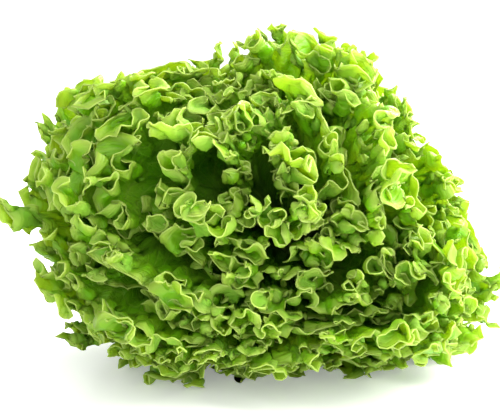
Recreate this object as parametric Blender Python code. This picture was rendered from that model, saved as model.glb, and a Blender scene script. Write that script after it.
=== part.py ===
"""Green leaf lettuce: one loose-leaf head with crisped leaves, cut at the stem and lying on its lower leaves.

The leaves stand round a short stem in a spiral. Each leaf has its own layer in a set of nested cups, so that
its waves never reach into the next leaf. Metres, +Z up. The head rests on z = 0, and the origin is the middle
of the base of its box.
"""
import math

import bpy
import numpy as np

# Driving dimensions of the head as it lies
HEAD_WIDTH = 0.290            # left to right
HEAD_HEIGHT = 0.197           # from the surface to the highest leaf edge
HEAD_DEPTH = 0.240            # front to back
TILT = math.radians(55.0)     # of the head's axis from upright, towards the front
LEAF_COUNT = 56

# The stem, with its cut face at the low end of the axis
STEM_RADIUS = 0.0135
STEM_STRAIGHT = 0.010         # the part next to the cut face, before the growing point narrows
STEM_LENGTH = 0.034
STEM_SIDES = 24
STEM_RINGS = 5                # steps from the straight part to the growing point
CUT_BEVEL = 0.0011            # worn edge of the cut face

# The crown before it is stretched to the sizes above: a ball that the leaf edges end on
CROWN_RADIUS = 0.130
CROWN_CENTRE = 0.065          # above the cut face, along the axis
FIRST_ANGLE = math.radians(4.0)
LAST_ANGLE = math.radians(112.0)
UNDER_OPENING = 0.16          # how much wider the leaves open on the underside, as a share
CROWDING = 1.12               # above 1, leaves stand closer together in the heart
STEP_SHARE = 0.35             # where in its own share of the crown each leaf's edge stands
AXIS_MARGIN = math.radians(1.2)   # round the axis itself only the first leaf reaches
HEART_CROSSING = math.radians(2.5)    # how far beyond the axis the first leaf may fold over it

# Leaves
TURN = math.radians(137.508)  # from each leaf to the next, as leaves grow
EDGE_THICKNESS = 0.0010       # at the waved edge
ROOT_THICKNESS = 0.0015       # of the rib where it meets the stem
ROOT_CLEARANCE = 0.0016       # from the stem's skin to the middle of a rib's root
ROOT_TURN = math.radians(24.0)
ARCH_LEAN = 1.05              # lean of a rib where it leaves the stem, as a share of its edge's angle
ARCH_REACH = 0.50             # how far it keeps that lean, as a share of its length
LENGTH_SPREAD = 0.13          # how much longer or shorter than usual a leaf may be
CORNER_DROP = 0.15            # how much shorter a leaf is at its two sides than in the middle
WAIST = 0.25                  # narrowing of the blade where the broad rib is
WAIST_PLACE = 0.27            # share of the length at which it is narrowest
WAIST_LENGTH = 0.16
SPREAD_START = 0.05           # shares of the length between which the blade widens
SPREAD_END = 0.50
RAGGED = 0.09                # unevenness of a leaf's length along its edge
RAGGED_WAVES = 3.5
# Half of the turn that a leaf takes up, by leaf number: heart leaves wrap further round
WRAP_HEART = math.radians(70.0)
WRAP_MIDDLE = math.radians(50.0)
WRAP_OUTER = math.radians(44.0)
HEART_LEAVES = 5
MIDDLE_LEAVES = 13

# Waves along a leaf's edge
WAVE_LENGTH = 0.034
ROOM_FILL = 0.96             # share of the room up to the next leaf that the waves use
ROOM_MARGIN = math.radians(3.5)   # turn beyond a leaf's sides that still counts as beside it
MOST_ROOM = math.radians(8.0)
ROOM_SAMPLES = 61
ROOM_REACH = 4                # samples to each side that a leaf's room is evened out over
LOOP_LEAST = 0.75             # how far the loops of the waves overhang
LOOP_MOST = 1.25
DROOP = 0.035                 # how far the crests hang back, as a share of the leaf's length
LEAST_EDGE_RADIUS = 0.35 * CROWN_RADIUS   # that a leaf's number of waves is worked out from
FLARE_START = 0.74            # share of the length where the waves of the edge begin
SWELL_START = 0.40            # share where they first show as a slow swell
SWELL_SHARE = 0.40            # of the waves' depth that belongs to the swell
SLOW_SHARE = 0.15             # of the room that a slow bend of the whole leaf uses
SLOW_WAVES = 1.2
DRIFT = 0.7                   # unevenness of the waves' lengths
DRIFT_WAVES = 2.0
DEPTH_DRIFT = 0.14            # unevenness of the waves' depths
DEPTH_WAVES = 2.5
SEED = 7

# Rows of each leaf's faces from the root to the edge, and how many points each row has
ROW_PLACES = (0.0, 0.30, 0.58, 0.83, 1.0)
ROW_POINTS = (3, 5, 13, 27, 29)

# Slow unevenness of the whole head: wave length, depth and number of the draw
HEAD_WAVES = ((0.150, 0.0070, 1), (0.085, 0.0030, 2))
STILL_RADIUS = 0.020          # round the stem nothing is bent
BENT_RADIUS = 0.090

# The head's outline seen from the front: reach from a point above the surface, by clock angle from +X
OUTLINE_HEIGHT = 0.095
OUTLINE = ((-30.0, 0.162), (-14.0, 0.154), (4.0, 0.128), (20.0, 0.109), (36.0, 0.106), (50.0, 0.121),
           (65.0, 0.113), (78.0, 0.110), (90.0, 0.115), (102.0, 0.098), (116.0, 0.099), (129.0, 0.119),
           (140.0, 0.128), (152.0, 0.150), (166.0, 0.160), (180.0, 0.155), (195.0, 0.146), (212.0, 0.133))
OUTLINE_SAMPLES = 72
OUTLINE_EVEN = 2              # samples to each side that the outline is evened out over
UNDER_FADE = 30.0             # degrees past the outline's two ends where the stretch fades out

# How the surface presses the lowest leaves
REST_REACH = 0.045            # how far from the middle the flat spot may lie
REST_LEAST_AREA = 0.00002     # least size of the spot, seen from below
SINK_DEPTH = 0.015            # how far the head would reach below the surface if nothing pressed it
PRESS_SOFTNESS = 0.014        # height over which it sinks softly onto the surface
FLAT_SPOT_DEPTH = 0.0030      # flattened off the lowest waves
LEAST_MIDDLE_HEIGHT = 0.0006  # of a leaf's middle surface above it
TOUCHING_HEIGHT = 0.00035     # anything lower lies flat on it


def smooth_rise(value, start, end):
    """0 before start, 1 after end, with an even S between them."""
    x = np.clip((value - start) / (end - start), 0.0, 1.0)
    return x * x * (3.0 - 2.0 * x)


def edge_angles():
    """Angle of each leaf's edge from the axis. Equal shares of the crown, crowded a little in the heart."""
    share = ((np.arange(LEAF_COUNT) + STEP_SHARE) / LEAF_COUNT) ** CROWDING
    cosine = math.cos(FIRST_ANGLE) + share * (math.cos(LAST_ANGLE) - math.cos(FIRST_ANGLE))
    return np.arccos(cosine)


def leaf_wraps():
    """Half of the turn round the axis that each leaf takes up."""
    number = np.arange(LEAF_COUNT)
    wraps = np.where(number < HEART_LEAVES, WRAP_HEART, WRAP_MIDDLE)
    return np.where(number < MIDDLE_LEAVES, wraps, WRAP_OUTER)


def leaf_rooms(angles, wraps):
    """Room of each leaf, inwards and outwards, at each sampled place across it.

    The room ends half way to the nearest leaf that lies beside that place. It is narrowed to the least room
    nearby and then evened out, so that it changes slowly.
    """
    places = np.linspace(-1.0, 1.0, ROOM_SAMPLES)
    rooms = np.zeros((2, LEAF_COUNT, ROOM_SAMPLES))
    for leaf in range(LEAF_COUNT):
        gaps = angles - angles[leaf]
        turns = leaf * TURN + places * wraps[leaf]
        apart = np.arange(LEAF_COUNT)[:, None] * TURN - turns[None, :]
        apart = np.abs((apart + math.pi) % (2.0 * math.pi) - math.pi)
        beside = apart < (wraps + ROOM_MARGIN)[:, None]
        inmost = min(MOST_ROOM, angles[leaf] - AXIS_MARGIN) if leaf else angles[leaf] + HEART_CROSSING
        inner = np.where(beside & (gaps < 0.0)[:, None], -0.5 * gaps[:, None], inmost)
        outer = np.where(beside & (gaps > 0.0)[:, None], 0.5 * gaps[:, None], MOST_ROOM)
        for way, room in enumerate((inner.min(axis=0), outer.min(axis=0))):
            padded = np.pad(np.minimum(room, MOST_ROOM), 2 * ROOM_REACH, mode="edge")
            windows = np.lib.stride_tricks.sliding_window_view(padded, 2 * ROOM_REACH + 1)
            least = windows.min(axis=1)
            windows = np.lib.stride_tricks.sliding_window_view(least, 2 * ROOM_REACH + 1)
            rooms[way, leaf] = windows.mean(axis=1)
    return rooms


def crown_cup(angle, turn, along):
    """Point of the nested cups: the cup whose edge is at this angle, at this turn, this far along (0 to 1).

    In the half-plane of the turn, a rib is an arch with three points: its root on the stem's growing point,
    a point straight on from there, and its edge on the crown. The cups open wider on the head's underside.
    """
    root_angle = angle * (0.5 * math.pi / LAST_ANGLE)
    root_out = (STEM_RADIUS + ROOT_CLEARANCE) * np.sin(root_angle)
    root_up = STEM_STRAIGHT + (STEM_LENGTH - STEM_STRAIGHT + ROOT_CLEARANCE) * np.cos(root_angle)
    open_angle = angle * (1.0 + UNDER_OPENING * 0.5 * (1.0 - np.sin(turn)))
    edge_out = CROWN_RADIUS * np.sin(open_angle)
    edge_up = CROWN_CENTRE + CROWN_RADIUS * np.cos(open_angle)
    reach = ARCH_REACH * np.hypot(edge_out - root_out, edge_up - root_up)
    middle_out = root_out + reach * np.sin(ARCH_LEAN * open_angle)
    middle_up = root_up + reach * np.cos(ARCH_LEAN * open_angle)
    near = (1.0 - along) ** 2
    mid = 2.0 * along * (1.0 - along)
    far = along ** 2
    out = near * root_out + mid * middle_out + far * edge_out
    up = near * root_up + mid * middle_up + far * edge_up
    return np.stack([out * np.cos(turn), out * np.sin(turn), up], axis=-1)


def slow_noise(place, rng, waves):
    """Uneven line between about -1 and 1 along a leaf's edge: three sines with drawn phases."""
    total = np.zeros_like(place)
    for octave in range(3):
        phase = rng.uniform(0.0, 2.0 * math.pi)
        total = total + np.sin(math.pi * waves * (octave + 1) * 0.83 * place + phase) / (octave + 1.0)
    return total / 1.83


def leaf_surface(leaf, side, along, angles, wraps, rooms):
    """Middle surface of one leaf. side runs -1 to 1 across it and along 0 to 1 from its root to its edge.

    The edge is a meander: it swings in and out through the leaf's room while its place along the edge swings
    twice as fast, which makes the loops overhang. The swing fades towards the root, quickly at first.
    """
    rng = np.random.default_rng(SEED * 1000 + leaf)
    edge_radius = max(CROWN_RADIUS * math.sin(angles[leaf]), LEAST_EDGE_RADIUS)
    waves = 2.0 * wraps[leaf] * edge_radius / WAVE_LENGTH
    length = 1.0 + rng.uniform(-LENGTH_SPREAD, LENGTH_SPREAD)
    loop = rng.uniform(LOOP_LEAST, LOOP_MOST)
    start = rng.uniform(0.0, 2.0 * math.pi)
    phase = math.pi * waves * side + start + DRIFT * slow_noise(side, rng, DRIFT_WAVES)
    slow = slow_noise(side, rng, SLOW_WAVES)
    depth = 1.0 - DEPTH_DRIFT * (1.0 - slow_noise(side, rng, DEPTH_WAVES))
    ragged = slow_noise(side, rng, RAGGED_WAVES)

    flare = np.clip((along - FLARE_START) / (1.0 - FLARE_START), 0.0, 1.0) ** 1.5
    early = np.clip((along - SWELL_START) / (1.0 - SWELL_START), 0.0, 1.0) ** 1.5
    swell = SWELL_SHARE * early + (1.0 - SWELL_SHARE) * flare
    bend = smooth_rise(along, 0.20, 1.0)

    swing = (1.0 - SLOW_SHARE) * depth * np.sin(phase) * swell + SLOW_SHARE * slow * bend
    sway = -loop * np.sin(2.0 * phase) * swell / (math.pi * waves) * (1.0 - side ** 6)
    spread = ROOT_TURN + (wraps[leaf] - ROOT_TURN) * smooth_rise(along, SPREAD_START, SPREAD_END)
    waist = 1.0 - WAIST * np.exp(-((along - WAIST_PLACE) / WAIST_LENGTH) ** 2)
    across = np.clip(side + sway, -1.0, 1.0)
    turn = leaf * TURN + spread * waist * across

    places = np.linspace(-1.0, 1.0, ROOM_SAMPLES)
    inwards = np.interp(across, places, rooms[0, leaf])
    outwards = np.interp(across, places, rooms[1, leaf])
    centre = angles[leaf] + 0.5 * (outwards - inwards) * smooth_rise(along, 0.1, 0.9)
    angle = centre + 0.5 * (inwards + outwards) * ROOM_FILL * swing

    outline = length * (1.0 - CORNER_DROP * np.abs(side) ** 3 + RAGGED * ragged * bend)
    return crown_cup(angle, turn, along * outline - DROOP * flare * np.sin(phase) ** 2)


def bend_head(points):
    """Slow, uneven bending of the whole head, so that it isn't a ball. Too gentle to push leaves together."""
    shifts = []
    for axis in range(3):
        total = np.zeros(len(points))
        for size, depth, draw in HEAD_WAVES:
            rng = np.random.default_rng(SEED + 10 * axis + draw)
            for _ in range(3):
                way = rng.normal(size=3)
                way = way / np.linalg.norm(way)
                phase = rng.uniform(0.0, 2.0 * math.pi)
                total = total + depth * np.sin(2.0 * math.pi * (points @ way) / size + phase) / math.sqrt(3.0)
        shifts.append(total)
    fade = smooth_rise(np.linalg.norm(points, axis=-1), STILL_RADIUS, BENT_RADIUS)
    return points + fade[:, None] * np.stack(shifts, axis=-1)


def lay_down(points):
    """Tip the head forwards about the middle of its crown."""
    up = points[:, 1]
    axis = points[:, 2] - CROWN_CENTRE
    y = up * math.cos(TILT) - axis * math.sin(TILT)
    z = up * math.sin(TILT) + axis * math.cos(TILT)
    return np.stack([points[:, 0], y, z], axis=1)


def clock_angles(points):
    """Direction of each point, seen from the front, round the outline's middle: 0 at +X, degrees."""
    return np.degrees(np.arctan2(points[:, 2] - OUTLINE_HEIGHT, points[:, 0]))


def even_ring(values, reach):
    """Running mean round a closed ring of values."""
    total = np.zeros_like(values)
    for step in range(-reach, reach + 1):
        total = total + np.roll(values, step)
    return total / (2 * reach + 1)


def shape_outline(points, everything):
    """Stretch the head, seen from the front, so that it reaches as far as OUTLINE says in each direction.

    The stretch depends only on the direction from the outline's middle, so that nothing folds over. Downwards
    the head keeps its own shape, and the surface presses it.
    """
    step = 360.0 / OUTLINE_SAMPLES
    sample_angles = (np.arange(OUTLINE_SAMPLES) + 0.5) * step - 90.0
    sector = ((clock_angles(everything) + 90.0) % 360.0 / step).astype(int) % OUTLINE_SAMPLES
    reach = np.hypot(everything[:, 0], everything[:, 2] - OUTLINE_HEIGHT)
    furthest = np.zeros(OUTLINE_SAMPLES)
    np.maximum.at(furthest, sector, reach)
    furthest = even_ring(furthest, OUTLINE_EVEN)
    wanted_angles = np.array([angle for angle, _ in OUTLINE])
    wanted = np.array([distance for _, distance in OUTLINE])
    target = np.interp(sample_angles, wanted_angles, wanted)
    right_end = wanted_angles[0]
    left_end = wanted_angles[-1]
    below = smooth_rise(sample_angles, left_end, left_end + UNDER_FADE)
    below = below + 1.0 - smooth_rise(sample_angles, right_end - UNDER_FADE, right_end)
    stretch = even_ring(target / furthest * (1.0 - below) + below, OUTLINE_EVEN)
    place = (clock_angles(points) + 90.0) % 360.0 / step - 0.5
    factor = np.interp(place, np.arange(OUTLINE_SAMPLES), stretch, period=OUTLINE_SAMPLES)
    x = points[:, 0] * factor
    z = OUTLINE_HEIGHT + (points[:, 2] - OUTLINE_HEIGHT) * factor
    return np.stack([x, points[:, 1], z], axis=1)


def press_on_surface(points):
    """Let the head sink onto the surface: heights bend over softly and never fold or cross."""
    pressed = PRESS_SOFTNESS * np.log1p(np.exp(points[:, 2] / PRESS_SOFTNESS))
    return np.stack([points[:, 0], points[:, 1], pressed], axis=1)


def fit_head(leaves, stem):
    """Lay the head down, shape its outline, press it on the surface and stretch it to its three sizes."""
    pieces = [lay_down(bend_head(points)) for points in leaves + [stem]]
    everything = np.concatenate(pieces)
    low = everything.min(axis=0)
    high = everything.max(axis=0)
    middle = 0.5 * (low + high)
    wanted = np.array([HEAD_WIDTH, HEAD_DEPTH, HEAD_HEIGHT + SINK_DEPTH])
    scale = wanted / (high - low)
    shift = np.array([middle[0], middle[1], high[2] - HEAD_HEIGHT / scale[2]])
    pieces = [(points - shift) * scale for points in pieces]
    everything = np.concatenate(pieces)
    pieces = [press_on_surface(shape_outline(points, everything)) for points in pieces]
    everything = np.concatenate(pieces)
    low = everything.min(axis=0)
    high = everything.max(axis=0)
    base = low[2] + FLAT_SPOT_DEPTH
    scale = np.array([HEAD_WIDTH / (high[0] - low[0]), 1.0, HEAD_HEIGHT / (high[2] - base)])
    shift = np.array([0.5 * (low[0] + high[0]), 0.5 * (low[1] + high[1]), base])
    pieces = [(points - shift) * scale for points in pieces]
    return pieces[:-1], pieces[-1]


def zip_rows(first, second):
    """Triangles between two rows of point numbers that have different counts."""
    triangles = []
    a = 0
    b = 0
    while a < len(first) - 1 or b < len(second) - 1:
        a_next = (a + 1) / (len(first) - 1)
        b_next = (b + 1) / (len(second) - 1)
        if b < len(second) - 1 and (b_next <= a_next or a == len(first) - 1):
            triangles.append((first[a], second[b + 1], second[b]))
            b += 1
        else:
            triangles.append((first[a], first[a + 1], second[b]))
            a += 1
    return triangles


def leaf_layout():
    """Places of a leaf's points on its surface, its triangles, and the ring of points round its edge."""
    side = []
    along = []
    rows = []
    for place, count in zip(ROW_PLACES, ROW_POINTS):
        first = len(side)
        rows.append(list(range(first, first + count)))
        side.extend(np.linspace(-1.0, 1.0, count))
        along.extend([place] * count)
    triangles = []
    for first, second in zip(rows, rows[1:]):
        triangles.extend(zip_rows(first, second))
    left = [row[0] for row in rows]
    right = [row[-1] for row in rows]
    ring = rows[0] + right[1:] + rows[-1][-2::-1] + left[-2:0:-1]
    return np.array(side), np.array(along), np.array(triangles), ring


def offset_normals(points, triangles):
    """Way to one side of the surface at each point, longer at a fold to keep the blade's thickness."""
    a = points[triangles[:, 0]]
    b = points[triangles[:, 1]]
    c = points[triangles[:, 2]]
    faces = np.cross(b - a, c - a)
    sums = np.zeros_like(points)
    areas = np.zeros(len(points))
    for corner in range(3):
        np.add.at(sums, triangles[:, corner], faces)
        np.add.at(areas, triangles[:, corner], np.linalg.norm(faces, axis=1))
    lengths = np.linalg.norm(sums, axis=1)
    flatness = np.clip(lengths / areas, 0.6, 1.0)
    return sums / lengths[:, None] / flatness[:, None]


def leaf_solid(middle, along, triangles, ring):
    """Both faces of a leaf, half its thickness to each side of its middle surface, and the rim between."""
    middle = middle.copy()
    middle[:, 2] = np.maximum(middle[:, 2], LEAST_MIDDLE_HEIGHT)
    ways = offset_normals(middle, triangles)
    half = 0.5 * (ROOT_THICKNESS + (EDGE_THICKNESS - ROOT_THICKNESS) * smooth_rise(along, 0.0, 0.5))
    points = np.concatenate([middle + ways * half[:, None], middle - ways * half[:, None]])
    points[points[:, 2] < TOUCHING_HEIGHT, 2] = 0.0
    count = len(middle)
    faces = []
    for a, b, c in triangles.tolist():
        faces.append((a, b, c))
        faces.append((c + count, b + count, a + count))
    for here, there in zip(ring, ring[1:] + ring[:1]):
        faces.append((there, here, here + count))
        faces.append((there, here + count, there + count))
    return points, faces


def flatten_rest_spot(solids):
    """Press the lowest facet near the middle quite flat: the spot that the head rests on."""
    least_height = math.inf
    for points, faces in solids:
        corners = points[np.array(faces)]
        normals = np.cross(corners[:, 1] - corners[:, 0], corners[:, 2] - corners[:, 0])
        wide = normals[:, 2] < -2.0 * REST_LEAST_AREA
        near = np.linalg.norm(corners.mean(axis=1)[:, :2], axis=1) < REST_REACH
        heights = np.where(wide & near, corners[:, :, 2].max(axis=1), math.inf)
        lowest = int(heights.argmin())
        if heights[lowest] < least_height:
            least_height = heights[lowest]
            rest_points = points
            rest_corners = list(faces[lowest])
    rest_points[rest_corners, 2] = 0.0


def stem_solid():
    """The cut stem: a short straight length with a flat cut face, narrowing to the growing point."""
    rings = [(STEM_RADIUS - CUT_BEVEL, 0.0), (STEM_RADIUS, CUT_BEVEL), (STEM_RADIUS, STEM_STRAIGHT)]
    for step in range(1, STEM_RINGS):
        angle = 0.5 * math.pi * step / STEM_RINGS
        rings.append((STEM_RADIUS * math.cos(angle),
                      STEM_STRAIGHT + (STEM_LENGTH - STEM_STRAIGHT) * math.sin(angle)))
    points = []
    for radius, up in rings:
        for corner in range(STEM_SIDES):
            turn = 2.0 * math.pi * corner / STEM_SIDES
            points.append((radius * math.cos(turn), radius * math.sin(turn), up))
    tip = len(points)
    points.append((0.0, 0.0, STEM_LENGTH))
    faces = [tuple(range(STEM_SIDES - 1, -1, -1))]
    for ring in range(len(rings) - 1):
        for corner in range(STEM_SIDES):
            a = ring * STEM_SIDES + corner
            b = ring * STEM_SIDES + (corner + 1) % STEM_SIDES
            faces.append((a, b, b + STEM_SIDES, a + STEM_SIDES))
    last = (len(rings) - 1) * STEM_SIDES
    for corner in range(STEM_SIDES):
        faces.append((last + corner, last + (corner + 1) % STEM_SIDES, tip))
    return np.array(points), faces


def plain_material(name, colour, roughness):
    """Leaf or stem finish."""
    material = bpy.data.materials.new(name)
    material.use_nodes = True
    shader = material.node_tree.nodes["Principled BSDF"]
    shader.inputs["Base Color"].default_value = (*colour, 1.0)
    shader.inputs["Roughness"].default_value = roughness
    shader.inputs["Metallic"].default_value = 0.0
    return material


def add_solid(name, points, faces, material):
    """One closed solid as an object of its own."""
    mesh = bpy.data.meshes.new(name)
    mesh.from_pydata([tuple(point) for point in points], [], faces)
    mesh.materials.append(material)
    mesh.update()
    solid = bpy.data.objects.new(name, mesh)
    bpy.context.scene.collection.objects.link(solid)


def clear_scene():
    """Start from an empty scene."""
    for item in list(bpy.data.objects):
        bpy.data.objects.remove(item, do_unlink=True)


def build_head():
    """The stem and all the leaves, the innermost first."""
    clear_scene()
    angles = edge_angles()
    wraps = leaf_wraps()
    rooms = leaf_rooms(angles, wraps)
    side, along, triangles, ring = leaf_layout()
    surfaces = [leaf_surface(leaf, side, along, angles, wraps, rooms) for leaf in range(LEAF_COUNT)]
    stem_points, stem_faces = stem_solid()
    leaves, stem = fit_head(surfaces, stem_points)
    add_solid("cut_stem", stem, stem_faces, plain_material("stem_flesh", (0.72, 0.78, 0.50), 0.55))
    solids = [leaf_solid(middle, along, triangles, ring) for middle in leaves]
    flatten_rest_spot(solids)
    for leaf, (points, faces) in enumerate(solids):
        name = "leaf_%02d" % (leaf + 1)
        age = leaf / (LEAF_COUNT - 1.0)
        colour = (0.38 - 0.14 * age, 0.58 - 0.12 * age, 0.10 - 0.04 * age)
        add_solid(name, points, faces, plain_material(name + "_blade", colour, 0.45))


build_head()
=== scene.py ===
# %% [markdown]
# # A head of green leaf lettuce
#
# Green leaf lettuce grows as a loose rosette. Its leaves stand in a spiral round a short stem, the oldest and
# largest outside. Each blade keeps growing at its edge after the middle has stopped, so the edge is far too
# long for the leaf and can only fit by folding into waves on waves. This lesson builds such a head, lying on
# its lower leaves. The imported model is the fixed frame, and every fine leaf is laid over the plain one of the
# same number.

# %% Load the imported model
import math

import bpy
import numpy as np
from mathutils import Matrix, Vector


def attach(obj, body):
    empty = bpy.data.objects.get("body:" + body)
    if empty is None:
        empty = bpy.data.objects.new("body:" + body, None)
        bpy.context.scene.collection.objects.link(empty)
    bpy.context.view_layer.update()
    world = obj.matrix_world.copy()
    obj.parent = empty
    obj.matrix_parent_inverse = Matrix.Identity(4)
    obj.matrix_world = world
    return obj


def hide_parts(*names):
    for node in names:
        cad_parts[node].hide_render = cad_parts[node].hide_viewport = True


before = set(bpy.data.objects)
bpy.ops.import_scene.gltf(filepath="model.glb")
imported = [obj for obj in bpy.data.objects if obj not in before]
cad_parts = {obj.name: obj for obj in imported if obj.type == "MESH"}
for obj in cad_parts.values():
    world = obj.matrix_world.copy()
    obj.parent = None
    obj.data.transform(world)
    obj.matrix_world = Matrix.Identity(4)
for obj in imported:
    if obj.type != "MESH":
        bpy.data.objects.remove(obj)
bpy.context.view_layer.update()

# %% [markdown]
# ## The sizes of the head
#
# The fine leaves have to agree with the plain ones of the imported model, so this cell states the same driving
# sizes. All are in metres or radians, and shares run from 0 to 1. A leaf's own numbers, such as where its
# waves start, are drawn from a seed that belongs to the leaf.

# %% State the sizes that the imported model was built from
HEAD_WIDTH = 0.290
HEAD_HEIGHT = 0.197
HEAD_DEPTH = 0.240
TILT = math.radians(55.0)
LEAF_COUNT = 56
STEM_RADIUS = 0.0135
STEM_STRAIGHT = 0.010
STEM_LENGTH = 0.034
CROWN_RADIUS = 0.130
CROWN_CENTRE = 0.065
FIRST_ANGLE = math.radians(4.0)
LAST_ANGLE = math.radians(112.0)
UNDER_OPENING = 0.16
CROWDING = 1.12
STEP_SHARE = 0.35
AXIS_MARGIN = math.radians(1.2)
HEART_CROSSING = math.radians(2.5)
TURN = math.radians(137.508)
ROOT_CLEARANCE = 0.0016
ROOT_TURN = math.radians(24.0)
ARCH_LEAN = 1.05
ARCH_REACH = 0.50
LENGTH_SPREAD = 0.13
CORNER_DROP = 0.15
WAIST = 0.25
WAIST_PLACE = 0.27
WAIST_LENGTH = 0.16
SPREAD_START = 0.05
SPREAD_END = 0.50
RAGGED = 0.09
RAGGED_WAVES = 3.5
WRAP_HEART = math.radians(70.0)
WRAP_MIDDLE = math.radians(50.0)
WRAP_OUTER = math.radians(44.0)
HEART_LEAVES = 5
MIDDLE_LEAVES = 13
WAVE_LENGTH = 0.034
ROOM_FILL = 0.96
ROOM_MARGIN = math.radians(3.5)
MOST_ROOM = math.radians(8.0)
ROOM_SAMPLES = 61
ROOM_REACH = 4
LOOP_LEAST = 0.75
LOOP_MOST = 1.25
DROOP = 0.035
LEAST_EDGE_RADIUS = 0.35 * CROWN_RADIUS
FLARE_START = 0.74
SWELL_START = 0.40
SWELL_SHARE = 0.40
SLOW_SHARE = 0.15
SLOW_WAVES = 1.2
DRIFT = 0.7
DRIFT_WAVES = 2.0
DEPTH_DRIFT = 0.14
DEPTH_WAVES = 2.5
SEED = 7
ROW_PLACES = (0.0, 0.30, 0.58, 0.83, 1.0)
ROW_POINTS = (3, 5, 13, 27, 29)
HEAD_WAVES = ((0.150, 0.0070, 1), (0.085, 0.0030, 2))
STILL_RADIUS = 0.020
BENT_RADIUS = 0.090
OUTLINE_HEIGHT = 0.095
OUTLINE = ((-30.0, 0.162), (-14.0, 0.154), (4.0, 0.128), (20.0, 0.109), (36.0, 0.106), (50.0, 0.121),
           (65.0, 0.113), (78.0, 0.110), (90.0, 0.115), (102.0, 0.098), (116.0, 0.099), (129.0, 0.119),
           (140.0, 0.128), (152.0, 0.150), (166.0, 0.160), (180.0, 0.155), (195.0, 0.146), (212.0, 0.133))
OUTLINE_SAMPLES = 72
OUTLINE_EVEN = 2
UNDER_FADE = 30.0
PRESS_SOFTNESS = 0.014
SINK_DEPTH = 0.015
FLAT_SPOT_DEPTH = 0.0030
print(LEAF_COUNT, "leaves in a head", HEAD_WIDTH, "m wide")

# %% [markdown]
# ## Nested cups
#
# If every leaf lies in a cup of its own, and the cups are nested, no leaf can cut through the next one,
# however wildly it waves. A cup is named by the angle of its edge from the head's axis. Equal steps of solid
# angle give every leaf the same share of the crown, and half the gap to the next leaf on each side is the
# room that its waves may use.

# %% Lay out the cups and the room in each
def smooth_rise(value, start, end):
    """0 before start, 1 after end, and 3x^2 - 2x^3 of the share of the way between them."""
    x = np.clip((value - start) / (end - start), 0.0, 1.0)
    return x * x * (3.0 - 2.0 * x)


def edge_angles():
    """Angle of each leaf's edge: the arc cosine of a line from the first angle's cosine to the last one's."""
    share = ((np.arange(LEAF_COUNT) + STEP_SHARE) / LEAF_COUNT) ** CROWDING
    cosine = math.cos(FIRST_ANGLE) + share * (math.cos(LAST_ANGLE) - math.cos(FIRST_ANGLE))
    return np.arccos(cosine)


def leaf_wraps():
    """Half of the turn round the axis that each leaf takes up, in three sizes from the heart outwards."""
    number = np.arange(LEAF_COUNT)
    wraps = np.where(number < HEART_LEAVES, WRAP_HEART, WRAP_MIDDLE)
    return np.where(number < MIDDLE_LEAVES, wraps, WRAP_OUTER)


def leaf_rooms(angles, wraps):
    """Half of the least gap in angle to any leaf beside each place, evened out by a running mean."""
    places = np.linspace(-1.0, 1.0, ROOM_SAMPLES)
    rooms = np.zeros((2, LEAF_COUNT, ROOM_SAMPLES))
    for leaf in range(LEAF_COUNT):
        gaps = angles - angles[leaf]
        turns = leaf * TURN + places * wraps[leaf]
        apart = np.arange(LEAF_COUNT)[:, None] * TURN - turns[None, :]
        apart = np.abs((apart + math.pi) % (2.0 * math.pi) - math.pi)
        beside = apart < (wraps + ROOM_MARGIN)[:, None]
        inmost = min(MOST_ROOM, angles[leaf] - AXIS_MARGIN) if leaf else angles[leaf] + HEART_CROSSING
        inner = np.where(beside & (gaps < 0.0)[:, None], -0.5 * gaps[:, None], inmost)
        outer = np.where(beside & (gaps > 0.0)[:, None], 0.5 * gaps[:, None], MOST_ROOM)
        for way, room in enumerate((inner.min(axis=0), outer.min(axis=0))):
            padded = np.pad(np.minimum(room, MOST_ROOM), 2 * ROOM_REACH, mode="edge")
            windows = np.lib.stride_tricks.sliding_window_view(padded, 2 * ROOM_REACH + 1)
            least = windows.min(axis=1)
            windows = np.lib.stride_tricks.sliding_window_view(least, 2 * ROOM_REACH + 1)
            rooms[way, leaf] = windows.mean(axis=1)
    return rooms


def crown_cup(angle, turn, along):
    """Point of a cup: a quadratic Bezier arch from the stem to the crown, in the half-plane of the turn."""
    root_angle = angle * (0.5 * math.pi / LAST_ANGLE)
    root_out = (STEM_RADIUS + ROOT_CLEARANCE) * np.sin(root_angle)
    root_up = STEM_STRAIGHT + (STEM_LENGTH - STEM_STRAIGHT + ROOT_CLEARANCE) * np.cos(root_angle)
    open_angle = angle * (1.0 + UNDER_OPENING * 0.5 * (1.0 - np.sin(turn)))
    edge_out = CROWN_RADIUS * np.sin(open_angle)
    edge_up = CROWN_CENTRE + CROWN_RADIUS * np.cos(open_angle)
    reach = ARCH_REACH * np.hypot(edge_out - root_out, edge_up - root_up)
    middle_out = root_out + reach * np.sin(ARCH_LEAN * open_angle)
    middle_up = root_up + reach * np.cos(ARCH_LEAN * open_angle)
    near = (1.0 - along) ** 2
    mid = 2.0 * along * (1.0 - along)
    far = along ** 2
    out = near * root_out + mid * middle_out + far * edge_out
    up = near * root_up + mid * middle_up + far * edge_up
    return np.stack([out * np.cos(turn), out * np.sin(turn), up], axis=-1)


ANGLES = edge_angles()
WRAPS = leaf_wraps()
ROOMS = leaf_rooms(ANGLES, WRAPS)
print("edge angles from", round(math.degrees(ANGLES[0]), 1), "to", round(math.degrees(ANGLES[-1]), 1))

# %% [markdown]
# ## The waves of one leaf
#
# A lettuce edge seen end-on is a meander, as a river seen from above: it swings from side to side while its
# place along the edge swings twice as fast, and so the loops overhang. Smaller curls ride on the big waves,
# and they are laid out by the length of the meander itself, because it is that length that the leaf has too
# much of. The plain leaf has only the big waves. The fine leaf adds the curls and a finer crinkle, lets the
# crests fold back and the lip roll out, and ends in the points that the margin of this kind of lettuce has.

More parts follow.
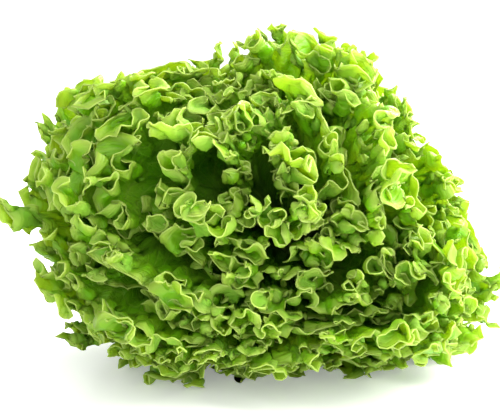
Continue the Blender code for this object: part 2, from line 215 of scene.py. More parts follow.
# %% Work out the surface of a leaf
CURL_LENGTH = 0.0195
CURL_DEPTH = 0.0090
CURL_START = 0.60
CURL_EDGE = 0.80
CURL_SLIP = 0.45
CURL_FOLD = 0.020
CURL_DRIFT = 2.2
CURL_DRIFT_SPAN = 0.080
UNEVEN_SPAN = 0.055
CRINKLE_LENGTH = 0.0105
CRINKLE_DEPTH = 0.0030
CRINKLE_START = 0.66
CRINKLE_DRIFT = 1.3
CRISP_SPAN = 0.090
SHORT_SPAN = 0.030
LIP_DEPTH = 0.0060
LIP_START = 0.89
LIP_TURN = 0.022
LIP_SPAN = 0.045
FOLD_BACK = 0.020
TOOTH_SPACING = 0.0095
TOOTH_DEPTH = 0.0090
TOOTH_START = 0.93
TOOTH_POINT = 2.0
TOOTH_DRIFT = 0.35
TOOTH_SPAN = 0.024
LEAF_LENGTH = 0.16
INWARD_SHARE = 0.80
OUTWARD_SHARE = 1.16
FINE_ROOT_TURN = math.radians(42.0)
BEND_START = 0.20
CENTRE_RISE = (0.1, 0.9)
SOFT_POWER = 1.5
CURL_EDGE_POWER = 2.0
LIP_POWER = 1.6
LIP_TURN_POWER = 2.2
TOOTH_POWER = 1.3
LIMIT_POWER = 6
CURL_SHARE = (0.8, 0.8)
CRISP_SHARE = (0.9, 1.1)
EDGE_SHARE = (0.75, 0.45)
FOLD_MIDDLE = 0.4


def slow_noise(place, rng, waves):
    """Sum of three sines of the place, with drawn phases and depths 1, 1/2 and 1/3, divided by 1.83."""
    total = np.zeros_like(place)
    for octave in range(3):
        phase = rng.uniform(0.0, 2.0 * math.pi)
        total = total + np.sin(math.pi * waves * (octave + 1) * 0.83 * place + phase) / (octave + 1.0)
    return total / 1.83


def arc_noise(arc, rng, span):
    """Sum of four sines of a length along the edge, about a span long, with drawn phases, within -1 to 1."""
    total = np.zeros_like(arc)
    for part in (1.0, 1.37, 0.77, 2.1):
        total = total + np.sin(2.0 * math.pi * arc / (span * part) + rng.uniform(0.0, 2.0 * math.pi))
    return 0.5 * total


def uneven(arc, rng, span, share):
    """The first share plus the second one times the noise of the length along the edge."""
    return share[0] + share[1] * arc_noise(arc, rng, span)


def growth(along, start, power):
    """0 up to the start, then ((along - start) / (1 - start)) to a power, which is 1 at the edge."""
    return np.clip((along - start) / (1.0 - start), 0.0, 1.0) ** power


def soft_limit(value, least, most):
    """Value held between two limits: value / (1 + |value / limit|^6)^(1/6), which bends over gently."""
    limit = np.where(value > 0.0, most, -least)
    return value / (1.0 + np.abs(value / limit) ** LIMIT_POWER) ** (1.0 / LIMIT_POWER)


def leaf_surface(leaf, side, along, fine):
    """Middle surface of a leaf, as rows of points.

    Angle from the axis = the leaf's cup + its room times sin of the phase. Turn = the leaf's turn + its
    spread times (side - loop times sin of twice the phase). Fine leaves add curl, crinkle and lip along the
    meander's own normal, take fold and lip turn off the place along the rib, and add the points to it.
    """
    rng = np.random.default_rng(SEED * 1000 + leaf)
    edge_radius = max(CROWN_RADIUS * math.sin(ANGLES[leaf]), LEAST_EDGE_RADIUS)
    waves = 2.0 * WRAPS[leaf] * edge_radius / WAVE_LENGTH
    length = 1.0 + rng.uniform(-LENGTH_SPREAD, LENGTH_SPREAD)
    loop = rng.uniform(LOOP_LEAST, LOOP_MOST)
    start = rng.uniform(0.0, 2.0 * math.pi)
    phase = math.pi * waves * side + start + DRIFT * slow_noise(side, rng, DRIFT_WAVES)
    slow = slow_noise(side, rng, SLOW_WAVES)
    depth = 1.0 - DEPTH_DRIFT * (1.0 - slow_noise(side, rng, DEPTH_WAVES))
    ragged = slow_noise(side, rng, RAGGED_WAVES)

    flare = growth(along, FLARE_START, SOFT_POWER)
    swell = SWELL_SHARE * growth(along, SWELL_START, SOFT_POWER) + (1.0 - SWELL_SHARE) * flare
    bend = smooth_rise(along, BEND_START, 1.0)

    swing = (1.0 - SLOW_SHARE) * depth * np.sin(phase) * swell + SLOW_SHARE * slow * bend
    sway = -loop * np.sin(2.0 * phase) * swell / (math.pi * waves) * (1.0 - side ** 6)
    root_turn = FINE_ROOT_TURN if fine else ROOT_TURN
    spread = root_turn + (WRAPS[leaf] - root_turn) * smooth_rise(along, SPREAD_START, SPREAD_END)
    waist = 1.0 - WAIST * np.exp(-((along - WAIST_PLACE) / WAIST_LENGTH) ** 2)
    across = np.clip(side + sway, -1.0, 1.0)
    turn = leaf * TURN + spread * waist * across

    places = np.linspace(-1.0, 1.0, ROOM_SAMPLES)
    inwards = np.interp(across, places, ROOMS[0, leaf])
    outwards = np.interp(across, places, ROOMS[1, leaf])
    centre = ANGLES[leaf] + 0.5 * (outwards - inwards) * smooth_rise(along, *CENTRE_RISE)
    angle = centre + 0.5 * (inwards + outwards) * ROOM_FILL * swing
    outline = length * (1.0 - CORNER_DROP * np.abs(side) ** 3 + RAGGED * ragged * bend)
    place = along * outline - DROOP * flare * np.sin(phase) ** 2
    if not fine:
        return crown_cup(angle, turn, place)

    offset = angle - ANGLES[leaf]
    angle = ANGLES[leaf] + np.where(offset < 0.0, INWARD_SHARE * offset, offset)
    flat = np.stack([edge_radius * turn, CROWN_RADIUS * angle], axis=-1)
    step = np.gradient(flat, axis=1)
    size = np.maximum(np.linalg.norm(step, axis=-1, keepdims=True), 1e-9)
    ahead = step / size
    beside = np.stack([-ahead[..., 1], ahead[..., 0]], axis=-1)
    arc = np.cumsum(size[-1, :, 0])
    curl_phase = 2.0 * math.pi * arc / CURL_LENGTH + CURL_DRIFT * arc_noise(arc, rng, CURL_DRIFT_SPAN)
    crinkle_phase = 2.0 * math.pi * arc / CRINKLE_LENGTH + CRINKLE_DRIFT * arc_noise(arc, rng, SHORT_SPAN)
    curl_grow = 0.5 * (growth(along, CURL_START, SOFT_POWER) + growth(along, CURL_EDGE, CURL_EDGE_POWER))
    curl = CURL_DEPTH * uneven(arc, rng, UNEVEN_SPAN, CURL_SHARE) * np.sin(curl_phase) * curl_grow
    crisp = CRINKLE_DEPTH * uneven(arc, rng, CRISP_SPAN, CRISP_SHARE)
    curl = curl + crisp * np.sin(crinkle_phase) * growth(along, CRINKLE_START, SOFT_POWER)
    lip_width = uneven(arc, rng, LIP_SPAN, EDGE_SHARE)
    curl = curl + LIP_DEPTH * lip_width * growth(along, LIP_START, LIP_POWER)
    slip = -CURL_SLIP * CURL_DEPTH * np.sin(2.0 * curl_phase) * curl_grow
    flat = flat + beside * curl[..., None] + ahead * slip[..., None]
    turn = flat[..., 0] / edge_radius
    angle = flat[..., 1] / CROWN_RADIUS
    angle = ANGLES[leaf] + soft_limit(angle - ANGLES[leaf], -INWARD_SHARE * inwards, OUTWARD_SHARE * outwards)

    tooth_place = arc / TOOTH_SPACING + TOOTH_DRIFT * arc_noise(arc, rng, SHORT_SPAN)
    tooth = np.abs(2.0 * (tooth_place % 1.0) - 1.0) ** TOOTH_POINT
    tooth_depth = TOOTH_DEPTH * uneven(arc, rng, TOOTH_SPAN, EDGE_SHARE)
    fold = FOLD_BACK * (np.sin(phase) ** 2 - FOLD_MIDDLE) * flare ** SOFT_POWER
    fold = fold + CURL_FOLD * np.sin(curl_phase) ** 2 * curl_grow
    fold = fold + LIP_TURN * lip_width * growth(along, LIP_START, LIP_TURN_POWER)
    point = growth(along, TOOTH_START, TOOTH_POWER) * tooth_depth * (tooth - FOLD_MIDDLE) / LEAF_LENGTH
    return crown_cup(angle, turn, place - fold + point)


# %% [markdown]
# ## Laying the head down
#
# The rosette is worked out upright and then laid down as one body: bent a little, tipped forwards, stretched
# to the outline that the head has from the front, and pressed on the surface. The plain leaves decide how far
# to stretch, so that fine and plain leaves get exactly the same treatment.

# %% Fit the leaves to the head as it lies
STEM_SIDES = 24
STEM_BEVEL = 0.0011
STEM_DOME_RINGS = 4


def bend_head(points):
    """Add to each point a few slow sines of its place, faded out near the stem."""
    shifts = []
    for axis in range(3):
        total = np.zeros(len(points))
        for size, depth, draw in HEAD_WAVES:
            rng = np.random.default_rng(SEED + 10 * axis + draw)
            for _ in range(3):
                way = rng.normal(size=3)
                way = way / np.linalg.norm(way)
                phase = rng.uniform(0.0, 2.0 * math.pi)
                total = total + depth * np.sin(2.0 * math.pi * (points @ way) / size + phase) / math.sqrt(3.0)
        shifts.append(total)
    fade = smooth_rise(np.linalg.norm(points, axis=-1), STILL_RADIUS, BENT_RADIUS)
    return points + fade[:, None] * np.stack(shifts, axis=-1)


def lay_down(points):
    """Turn by the tilt about a left-to-right line through the middle of the crown."""
    up = points[:, 1]
    axis = points[:, 2] - CROWN_CENTRE
    y = up * math.cos(TILT) - axis * math.sin(TILT)
    z = up * math.sin(TILT) + axis * math.cos(TILT)
    return np.stack([points[:, 0], y, z], axis=1)


def clock_angles(points):
    """Direction of each point seen from the front, round the outline's middle, in degrees."""
    return np.degrees(np.arctan2(points[:, 2] - OUTLINE_HEIGHT, points[:, 0]))


def even_ring(values, reach):
    """Running mean round a closed ring of values."""
    total = np.zeros_like(values)
    for step in range(-reach, reach + 1):
        total = total + np.roll(values, step)
    return total / (2 * reach + 1)


def outline_stretch(everything):
    """Wanted reach over present reach in each direction, 1 below, evened out round the ring."""
    step = 360.0 / OUTLINE_SAMPLES
    sample_angles = (np.arange(OUTLINE_SAMPLES) + 0.5) * step - 90.0
    sector = ((clock_angles(everything) + 90.0) % 360.0 / step).astype(int) % OUTLINE_SAMPLES
    reach = np.hypot(everything[:, 0], everything[:, 2] - OUTLINE_HEIGHT)
    furthest = np.zeros(OUTLINE_SAMPLES)
    np.maximum.at(furthest, sector, reach)
    furthest = even_ring(furthest, OUTLINE_EVEN)
    wanted_angles = np.array([angle for angle, _ in OUTLINE])
    wanted = np.array([distance for _, distance in OUTLINE])
    target = np.interp(sample_angles, wanted_angles, wanted)
    right_end = wanted_angles[0]
    left_end = wanted_angles[-1]
    below = smooth_rise(sample_angles, left_end, left_end + UNDER_FADE)
    below = below + 1.0 - smooth_rise(sample_angles, right_end - UNDER_FADE, right_end)
    return even_ring(target / furthest * (1.0 - below) + below, OUTLINE_EVEN)


def stretch_and_press(points, stretch):
    """Stretch away from the outline's middle by direction, then bend the heights softly over zero."""
    place = (clock_angles(points) + 90.0) % 360.0 / (360.0 / OUTLINE_SAMPLES) - 0.5
    factor = np.interp(place, np.arange(OUTLINE_SAMPLES), stretch, period=OUTLINE_SAMPLES)
    x = points[:, 0] * factor
    z = OUTLINE_HEIGHT + (points[:, 2] - OUTLINE_HEIGHT) * factor
    pressed = PRESS_SOFTNESS * np.log1p(np.exp(z / PRESS_SOFTNESS))
    return np.stack([x, points[:, 1], pressed], axis=1)


def plain_stem():
    """The points of the stem that count for the fit: its rings and its tip."""
    ring = 2.0 * math.pi * np.arange(STEM_SIDES) / STEM_SIDES
    rings = [(STEM_RADIUS - STEM_BEVEL, 0.0), (STEM_RADIUS, STEM_BEVEL), (STEM_RADIUS, STEM_STRAIGHT)]
    for step in range(1, STEM_DOME_RINGS + 1):
        angle = 0.5 * math.pi * step / (STEM_DOME_RINGS + 1)
        rings.append((STEM_RADIUS * math.cos(angle),
                      STEM_STRAIGHT + (STEM_LENGTH - STEM_STRAIGHT) * math.sin(angle)))
    points = [np.stack([radius * np.cos(ring), radius * np.sin(ring), np.full(STEM_SIDES, up)], axis=1)
              for radius, up in rings]
    return np.concatenate(points + [np.array([[0.0, 0.0, STEM_LENGTH]])])


def measure_fit():
    """The two shifts, two scales and the outline's stretch that the plain leaves and the stem give."""
    side = np.concatenate([np.linspace(-1.0, 1.0, count) for count in ROW_POINTS])
    along = np.concatenate([np.full(count, place) for place, count in zip(ROW_PLACES, ROW_POINTS)])
    pieces = [leaf_surface(leaf, side, along, False) for leaf in range(LEAF_COUNT)]
    everything = lay_down(bend_head(np.concatenate(pieces + [plain_stem()])))
    low = everything.min(axis=0)
    high = everything.max(axis=0)
    middle = 0.5 * (low + high)
    scale = np.array([HEAD_WIDTH, HEAD_DEPTH, HEAD_HEIGHT + SINK_DEPTH]) / (high - low)
    fit = {"scale": scale, "shift": np.array([middle[0], middle[1], high[2] - HEAD_HEIGHT / scale[2]])}
    everything = (everything - fit["shift"]) * fit["scale"]
    fit["stretch"] = outline_stretch(everything)
    everything = stretch_and_press(everything, fit["stretch"])
    low = everything.min(axis=0)
    high = everything.max(axis=0)
    base = low[2] + FLAT_SPOT_DEPTH
    fit["last_scale"] = np.array([HEAD_WIDTH / (high[0] - low[0]), 1.0, HEAD_HEIGHT / (high[2] - base)])
    fit["last_shift"] = np.array([0.5 * (low[0] + high[0]), 0.5 * (low[1] + high[1]), base])
    return fit


def fit_points(points, fit):
    """Bend, lay down, scale, stretch, press and scale again, in that order."""
    points = (lay_down(bend_head(points)) - fit["shift"]) * fit["scale"]
    return (stretch_and_press(points, fit["stretch"]) - fit["last_shift"]) * fit["last_scale"]


FIT = measure_fit()
print("outline stretched by", round(FIT["stretch"].min(), 3), "to", round(FIT["stretch"].max(), 3))

# %% [markdown]
# ## A grid that is fine only where the leaf is
#
# The edge of a leaf is several times longer than its root, so a plain grid would waste most of its faces near
# the stem. Here each row of the grid takes every eighth, fourth, second or single column, and where the step
# halves, three triangles stand for each coarse face.

# %% Lay out the faces of a leaf
COLUMNS = 385
ROWS = ((0.0, 8), (0.08, 8), (0.17, 8), (0.27, 8), (0.37, 8), (0.46, 8), (0.54, 8), (0.61, 4), (0.67, 4),
        (0.72, 4), (0.765, 4), (0.805, 2), (0.84, 2), (0.87, 2), (0.895, 2), (0.918, 2), (0.938, 1),
        (0.956, 1), (0.972, 1), (0.987, 1), (1.0, 1))


def row_triangles(low, high):
    """Triangles between two rows of point numbers. The upper row has as many points, or twice as many."""
    if len(high) == len(low):
        first = np.stack([low[:-1], low[1:], high[1:]], axis=1)
        second = np.stack([low[:-1], high[1:], high[:-1]], axis=1)
        return np.concatenate([first, second])
    left = np.stack([low[:-1], high[1::2], high[:-1:2]], axis=1)
    middle = np.stack([low[:-1], low[1:], high[1::2]], axis=1)
    right = np.stack([low[1:], high[2::2], high[1::2]], axis=1)
    return np.concatenate([left, middle, right])


def leaf_topology():
    """Columns and rows of the kept grid points, the triangles of one face, and the ring of rim points."""
    columns = []
    rows = []
    numbers = []
    count = 0
    for row, (_, step) in enumerate(ROWS):
        kept = np.arange(0, COLUMNS, step)
        columns.append(kept)
        rows.append(np.full(len(kept), row))
        numbers.append(np.arange(count, count + len(kept)))
        count += len(kept)
    triangles = np.concatenate([row_triangles(low, high) for low, high in zip(numbers, numbers[1:])])
    right = [row[-1] for row in numbers[1:-1]]
    left = [row[0] for row in numbers[1:-1]]
    ring = np.concatenate([numbers[0], right, numbers[-1][::-1], left[::-1]]).astype(int)
    return np.concatenate(rows), np.concatenate(columns), triangles, ring


GRID_ROWS, GRID_COLUMNS, TRIANGLES, RING = leaf_topology()
print(2 * len(TRIANGLES) + 2 * len(RING), "triangles in a leaf")

# %% [markdown]
# ## From a surface to a blade
#
# A blade has two faces, and they look different: the upper one is deep green and a little glossy, the lower
# one paler and dull. Between the veins the blade swells into blisters, and here they are deep enough to set
# the curls of one leaf at odds with the next. So a leaf is a closed thin shell, and each point carries what
# the finish needs to know: how far along the leaf it is, how far from the edge, how much of it is rib, which
# face it is on, and the age of the leaf.

# %% Make a closed blade
EDGE_THICKNESS = 0.0006
ROOT_THICKNESS = 0.0024
RIB_THICKNESS = 0.0022
THIN_FROM = 0.35
RIB_WIDTH = 0.30
RIB_TAPER = 0.22
RIB_FADE = (0.2, 0.95)
RIB_RISE = 0.12
BLISTERS = ((0.024, 0.0034), (0.011, 0.0012))
BLISTER_RISE = (0.15, 0.55)
BLISTER_WARP = 1.3
PLAN_RADIUS = 0.12
LEAST_HEIGHT = 0.0002


def blister(points, rng):
    """Height of the soft bumps between the veins: products of warped sines of the place."""
    total = np.zeros(points.shape[:-1])
    for size, height in BLISTERS:
        phase = rng.uniform(0.0, 2.0 * math.pi, 3)
        q = 2.0 * math.pi * points / size
        first = np.sin(q[..., 0] + phase[0] + BLISTER_WARP * np.sin(q[..., 1] + phase[1]))
        total = total + height * first * np.sin(q[..., 2] + phase[2] + np.sin(q[..., 0]))
    return total


def grid_normals(points):
    """Unit normals of a grid: the cross product of its two gradients."""
    normal = np.cross(np.gradient(points, axis=1), np.gradient(points, axis=0))
    return normal / np.maximum(np.linalg.norm(normal, axis=-1, keepdims=True), 1e-12)


def leaf_shell(leaf):
    """Points of both faces of a leaf, its triangles, and what each point carries."""
    places = np.array([place for place, _ in ROWS])
    side, along = np.meshgrid(np.linspace(-1.0, 1.0, COLUMNS), places)
    middle = leaf_surface(leaf, side, along, True)
    middle = fit_points(middle.reshape(-1, 3), FIT).reshape(middle.shape)
    rng = np.random.default_rng(SEED * 77 + leaf)
    normal = grid_normals(middle)
    middle = middle + normal * (blister(middle, rng) * smooth_rise(along, *BLISTER_RISE))[..., None]
    normal = grid_normals(middle)
    edge_distance = np.cumsum(np.linalg.norm(np.diff(middle, axis=0), axis=-1)[::-1], axis=0)[::-1]
    edge_distance = np.concatenate([edge_distance, np.zeros((1, COLUMNS))])
    rib = np.exp(-(side / (RIB_WIDTH - RIB_TAPER * along)) ** 2) * (1.0 - smooth_rise(along, *RIB_FADE))
    near_root = 1.0 - smooth_rise(along, 0.0, THIN_FROM)
    thickness = EDGE_THICKNESS + (ROOT_THICKNESS - EDGE_THICKNESS) * near_root
    half = 0.5 * (thickness + RIB_THICKNESS * rib * smooth_rise(along, 0.0, RIB_RISE))
    under = middle + normal * half[..., None]
    upper = middle - normal * half[..., None]
    kept = (GRID_ROWS, GRID_COLUMNS)
    points = np.concatenate([under[kept], upper[kept]])
    points[:, 2] = np.maximum(points[:, 2], LEAST_HEIGHT)
    count = len(GRID_ROWS)
    following = np.roll(RING, -1)
    rim = np.concatenate([np.stack([following, RING, RING + count], axis=1),
                          np.stack([following, RING + count, following + count], axis=1)])
    faces = np.concatenate([TRIANGLES, TRIANGLES[:, ::-1] + count, rim])
    carried = {
        "along": np.tile(along[kept], 2),
        "edge_distance": np.tile(edge_distance[kept], 2),
        "rib": np.tile(rib[kept], 2),
        "under": np.repeat([1.0, 0.0], count),
        "age": np.full(2 * count, leaf / (LEAF_COUNT - 1.0)),
    }
    across = side * WRAPS[leaf] * PLAN_RADIUS
    plan = np.stack([np.tile(across[kept], 2), np.tile((along * LEAF_LENGTH)[kept], 2)], axis=1)
    return points, faces, carried, plan


# %% [markdown]
# ## The leaf's finish
#
# A young lettuce leaf is lit as much from behind as from in front, so its green is half reflected and half
# shone through. The colour runs from a pale rib through deep green to a bright yellow green at the curls; the
# deep green low in the head is painted shade, and a thin pale line along the cut margin is a painted highlight.
# Veins and blisters come from patterns on the leaf's own flat plan, so that they follow every fold.

# %% Mix the leaf's finish
# Colours are linear red, green and blue. Pairs run from the youngest leaf to the oldest, the shone ones from
# the root to the edge.
# The first pair below is painted shade: the lower blade, deep in the head, is darkened as if the gaps were in
# shade.
SHADED_DEEP_GREENS = ((0.100, 0.370, 0.005), (0.070, 0.280, 0.004))
MIDDLE_GREENS = ((0.180, 0.540, 0.004), (0.130, 0.440, 0.003))
EDGE_GREENS = ((0.500, 0.670, 0.110), (0.340, 0.560, 0.050))
SHONE_GREENS = ((0.360, 0.600, 0.010), (0.600, 0.720, 0.065))
PATCH_GREEN = (0.40, 0.64, 0.05)
SPECK_GREEN = (0.06, 0.24, 0.01)
UNDER_GREEN = (0.34, 0.58, 0.09)
VEIN_GREEN = (0.48, 0.70, 0.10)
ROOT_GREEN = (0.52, 0.62, 0.24)
# The rim green is a painted highlight along the margin of the blade, where the cut edge catches the light.
RIM_HIGHLIGHT_GREEN = (0.75, 0.86, 0.31)
PATCH_SHARE = 0.40
SPECK_SHARE = 0.25
UNDER_SHARE = 0.38
VEIN_SHARE = 0.42
RIM_HIGHLIGHT_SHARE = 0.45
PATCHES_PER_METRE = 38.0
SPECKS_PER_METRE = 210.0
CELLS_PER_METRE = 230.0
WOBBLES_PER_METRE = 45.0
VEIN_SPACING = 0.011
VEIN_SLANT = 0.75
VEIN_WOBBLE = 0.012
SIDE_VEIN_DEPTH = 0.8
NET_VEIN_DEPTH = 0.35


def new_material(name):
    """A material with only its output and a Principled shader, and a function that adds a node."""
    material = bpy.data.materials.new(name)
    material.use_nodes = True
    tree = material.node_tree

    def add(kind, **values):
        """Add a node. Values of its sockets are given by name with _ for a space, or by number as in_0."""
        node = tree.nodes.new(kind)
        for key, value in values.items():
            if key.startswith("in_"):
                slot = key[3:]
                socket = node.inputs[int(slot)] if slot.isdigit() else node.inputs[slot.replace("_", " ")]
                if isinstance(value, bpy.types.NodeSocket):
                    tree.links.new(value, socket)
                else:
                    socket.default_value = value
            else:
                setattr(node, key, value)
        return node

    return material, tree, add


def blend_colours(add, share, first, second):
    """First colour where the share is 0, second where it is 1."""
    node = add("ShaderNodeMix", data_type="RGBA", in_0=share)
    for socket, value in ((node.inputs[6], first), (node.inputs[7], second)):
        if isinstance(value, bpy.types.NodeSocket):
            node.id_data.links.new(value, socket)
        else:
            socket.default_value = (*value, 1.0)
    return node.outputs[2]


def share_of(add, value, low, high):
    """0 where the value is at low, 1 at high, with a smooth step between."""
    node = add("ShaderNodeMapRange", interpolation_type="SMOOTHSTEP", in_0=value, in_1=low, in_2=high)
    return node.outputs[0]


def make_leaf_material():
    """Reflected and transmitted green, by place on the leaf, age, side, veins and patches, with painted shade
    deep in the head and a painted highlight at the margin.
    """
    material, tree, add = new_material("lettuce_blade")

    def carried(name):
        return add("ShaderNodeAttribute", attribute_name=name).outputs["Fac"]

    def maths(operation, first, second=0.0):
        return add("ShaderNodeMath", operation=operation, in_0=first, in_1=second).outputs[0]

    along = carried("along")
    edge = carried("edge_distance")
    age = carried("age")
    under = carried("under")
    rib = carried("rib")
    plan = add("ShaderNodeUVMap", uv_map="plan").outputs[0]
    place = add("ShaderNodeTexCoord").outputs["Object"]

    def noise_of(vector, scale, detail):
        return add("ShaderNodeTexNoise", in_Vector=vector, in_Scale=scale, in_Detail=detail).outputs[0]

    patches = noise_of(place, PATCHES_PER_METRE, 3.0)
    mottle = noise_of(plan, SPECKS_PER_METRE, 2.0)
    cells = add("ShaderNodeTexVoronoi", feature="DISTANCE_TO_EDGE", in_Vector=plan,
                in_Scale=CELLS_PER_METRE).outputs[0]
    split = add("ShaderNodeSeparateXYZ", in_0=plan)
    aside = maths("MULTIPLY", maths("ABSOLUTE", split.outputs[0]), VEIN_SLANT)
    slant = maths("SUBTRACT", split.outputs[1], aside)
    wobble = noise_of(plan, WOBBLES_PER_METRE, 2.0)
    slant = maths("ADD", slant, maths("MULTIPLY", wobble, VEIN_WOBBLE))
    wave = maths("ABSOLUTE", maths("SUBTRACT", maths("FRACT", maths("DIVIDE", slant, VEIN_SPACING)), 0.5))
    side_vein = maths("MULTIPLY", maths("SUBTRACT", 1.0, share_of(add, wave, 0.02, 0.11)), SIDE_VEIN_DEPTH)
    net = maths("MULTIPLY", maths("SUBTRACT", 1.0, share_of(add, cells, 0.0, 0.10)), NET_VEIN_DEPTH)
    vein = maths("MAXIMUM", maths("MAXIMUM", side_vein, net), rib)

    shaded_deep = blend_colours(add, age, *SHADED_DEEP_GREENS)
    bright = blend_colours(add, age, *EDGE_GREENS)
    middle = blend_colours(add, age, *MIDDLE_GREENS)
    # Painted shade: the blade turns darker towards the root and more than a centimetre from the edge; the
    # bright yellow green at the edge is partly the leaf's own pale margin.
    green = blend_colours(add, share_of(add, along, 0.50, 0.80), shaded_deep, middle)
    green = blend_colours(add, maths("SUBTRACT", 1.0, share_of(add, edge, 0.0005, 0.010)), green, bright)
    patch = maths("MULTIPLY", share_of(add, patches, 0.42, 0.66), PATCH_SHARE)
    green = blend_colours(add, patch, green, PATCH_GREEN)
    speck = maths("MULTIPLY", share_of(add, mottle, 0.45, 0.75), SPECK_SHARE)
    green = blend_colours(add, speck, green, SPECK_GREEN)
    green = blend_colours(add, maths("MULTIPLY", under, UNDER_SHARE), green, UNDER_GREEN)
    green = blend_colours(add, maths("MULTIPLY", vein, VEIN_SHARE), green, VEIN_GREEN)
    root = maths("SUBTRACT", 1.0, share_of(add, along, 0.04, 0.34))
    green = blend_colours(add, root, green, ROOT_GREEN)
    # Painted highlight: a thin pale line in the last millimetre of the margin.
    rim = maths("SUBTRACT", 1.0, share_of(add, edge, 0.0001, 0.0011))
    green = blend_colours(add, maths("MULTIPLY", rim, RIM_HIGHLIGHT_SHARE), green, RIM_HIGHLIGHT_GREEN)

    shone = blend_colours(add, share_of(add, along, 0.5, 0.95), *SHONE_GREENS)
    relief = maths("ADD", maths("MULTIPLY", cells, 0.9), maths("MULTIPLY", vein, -0.35))
    bump = add("ShaderNodeBump", in_Strength=0.65, in_Distance=0.0011, in_Height=relief).outputs[0]
    shader = tree.nodes["Principled BSDF"]
    tree.links.new(green, shader.inputs["Base Color"])
    roughness = add("ShaderNodeMapRange", in_0=under, in_3=0.32, in_4=0.56).outputs[0]
    tree.links.new(roughness, shader.inputs["Roughness"])
    tree.links.new(bump, shader.inputs["Normal"])
    shader.inputs["Specular IOR Level"].default_value = 0.34
    through = add("ShaderNodeBsdfTranslucent", in_Color=shone, in_Normal=bump)
    thin = add("ShaderNodeMapRange", in_0=along, in_1=0.25, in_2=0.9, in_3=0.18, in_4=0.50).outputs[0]
    mix = add("ShaderNodeMixShader", in_0=thin, in_1=shader.outputs[0], in_2=through.outputs[0])
    tree.links.new(mix.outputs[0], tree.nodes["Material Output"].inputs[0])
    return material


LEAF_FINISH = make_leaf_material()
print("leaf finish has", len(LEAF_FINISH.node_tree.nodes), "nodes")

# %% [markdown]
# ## All the leaves
#
# Each fine leaf takes the place of the plain one of the same number. It rides with the head's only body and
# takes the leaf finish made above.

# %% Build the leaves
def build_leaf(leaf):
    """One leaf as an object with its place in its mesh."""
    points, faces, carried, plan = leaf_shell(leaf)
    number = "%02d" % (leaf + 1)
    mesh = bpy.data.meshes.new("curled_leaf_" + number)
    mesh.from_pydata(points, [], faces)
    for name, values in carried.items():
        layer = mesh.attributes.new(name, "FLOAT", "POINT")
        layer.data.foreach_set("value", values.astype(np.float32))
    flat_plan = mesh.uv_layers.new(name="plan")
    flat_plan.data.foreach_set("uv", plan[faces.ravel()].astype(np.float32).ravel())
    mesh.materials.append(LEAF_FINISH)
    mesh.shade_smooth()
    piece = bpy.data.objects.new("curled_leaf_" + number, mesh)
    bpy.context.scene.collection.objects.link(piece)
    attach(piece, "root")
    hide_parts("leaf_" + number)
    return len(faces)


face_total = sum(build_leaf(leaf) for leaf in range(LEAF_COUNT))
print(LEAF_COUNT, "leaves with", face_total, "triangles")

# %% [markdown]
# ## The stem
#
# The head was cut from its root with one stroke, and the cut face shows the pale, wet flesh with a ring of
# tougher tissue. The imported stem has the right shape, so it only gets a finish.

# %% Finish the stem
def make_stem_material():
    """Pale green flesh with fine fibres and brown stains."""
    material, tree, add = new_material("cut_stem_flesh")
    place = add("ShaderNodeTexCoord").outputs["Object"]
    fibres = add("ShaderNodeTexNoise", in_Vector=place, in_Scale=420.0, in_Detail=4.0).outputs[0]
    stains = add("ShaderNodeTexNoise", in_Vector=place, in_Scale=90.0, in_Detail=2.0).outputs[0]
    colour = blend_colours(add, share_of(add, fibres, 0.35, 0.7), (0.72, 0.77, 0.48), (0.58, 0.68, 0.30))
    colour = blend_colours(add, share_of(add, stains, 0.55, 0.8), colour, (0.55, 0.42, 0.22))
    shader = tree.nodes["Principled BSDF"]
    tree.links.new(colour, shader.inputs["Base Color"])
    shader.inputs["Roughness"].default_value = 0.40
    bump = add("ShaderNodeBump", in_Strength=0.3, in_Distance=0.0006, in_Height=fibres).outputs[0]
    tree.links.new(bump, shader.inputs["Normal"])
    return material


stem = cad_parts["cut_stem"]
stem_finish = make_stem_material()
for slot in stem.material_slots:
    slot.material = stem_finish
print("stem finish on", len(stem.material_slots), "slot")

# %% [markdown]
# ## Floor, light and camera
#
# The head lies on a white surface in even white light. One lamp stands to the right, one behind makes the
# upper leaves glow, and a weak one in front opens the shade. The camera stands in front and looks slightly
# down.

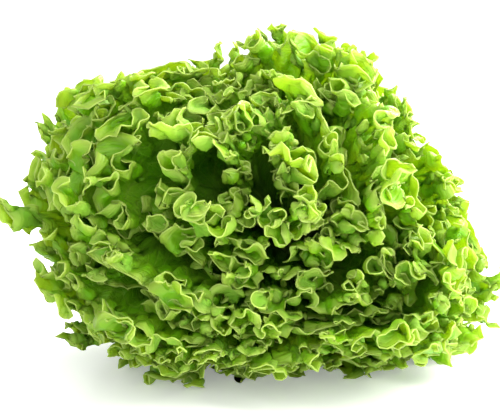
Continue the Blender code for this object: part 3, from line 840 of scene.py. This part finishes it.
# %% Add the floor, the light and the camera
def add_floor():
    """A wide white surface with a faint gloss."""
    half = 6.0
    mesh = bpy.data.meshes.new("white_floor")
    mesh.from_pydata([(-half, -half, 0.0), (half, -half, 0.0), (half, half, 0.0), (-half, half, 0.0)], [],
                     [(0, 1, 2, 3)])
    material, tree, add = new_material("white_surface")
    shader = tree.nodes["Principled BSDF"]
    shader.inputs["Base Color"].default_value = (0.92, 0.92, 0.92, 1.0)
    shader.inputs["Emission Color"].default_value = (1.0, 1.0, 1.0, 1.0)
    shader.inputs["Emission Strength"].default_value = 0.25
    shader.inputs["Roughness"].default_value = 0.35
    mesh.materials.append(material)
    floor = bpy.data.objects.new("white_floor", mesh)
    bpy.context.scene.collection.objects.link(floor)


def add_area_light(name, place, target, size, power, colour):
    """A square soft light at a place, turned to its target."""
    lamp = bpy.data.lights.new(name, "AREA")
    lamp.size = size
    lamp.energy = power
    lamp.color = colour
    light = bpy.data.objects.new(name, lamp)
    light.location = place
    light.rotation_euler = (Vector(target) - Vector(place)).to_track_quat("-Z", "Y").to_euler()
    bpy.context.scene.collection.objects.link(light)


VIEW_TARGET = Vector((-0.005, 0.0, 0.090))
VIEW_DISTANCE = 0.70
VIEW_HEIGHT_ANGLE = math.radians(12.0)


def add_camera():
    """In front of the head, at the photograph's height and distance."""
    lens = bpy.data.cameras.new("camera")
    lens.lens = 85.0
    lens.sensor_width = 36.0
    lens.clip_start = 0.01
    camera = bpy.data.objects.new("camera", lens)
    offset = Vector((0.0, -math.cos(VIEW_HEIGHT_ANGLE), math.sin(VIEW_HEIGHT_ANGLE)))
    camera.location = VIEW_TARGET + VIEW_DISTANCE * offset
    camera.rotation_euler = (-offset).to_track_quat("-Z", "Y").to_euler()
    bpy.context.scene.collection.objects.link(camera)
    bpy.context.scene.camera = camera


def add_sky(strength):
    """Even white light from all round."""
    world = bpy.data.worlds.new("white_room")
    world.use_nodes = True
    background = world.node_tree.nodes["Background"]
    background.inputs["Color"].default_value = (1.0, 1.0, 1.0, 1.0)
    background.inputs["Strength"].default_value = strength
    bpy.context.scene.world = world


SKY_STRENGTH = 1.22
LIGHT_TARGET = (0.0, 0.0, 0.1)
LIGHTS = (("light_right", (0.75, -0.05, 0.75), 0.8, 25.0, (1.0, 1.0, 0.95)),
          ("light_behind", (0.40, 0.70, 0.75), 0.7, 26.0, (1.0, 1.0, 0.97)),
          ("light_front", (0.10, -0.90, 0.60), 0.6, 3.0, (1.0, 1.0, 1.0)))

add_floor()
add_sky(SKY_STRENGTH)
for name, place, size, power, colour in LIGHTS:
    add_area_light(name, place, LIGHT_TARGET, size, power, colour)
add_camera()
bpy.context.scene.view_settings.view_transform = "Standard"
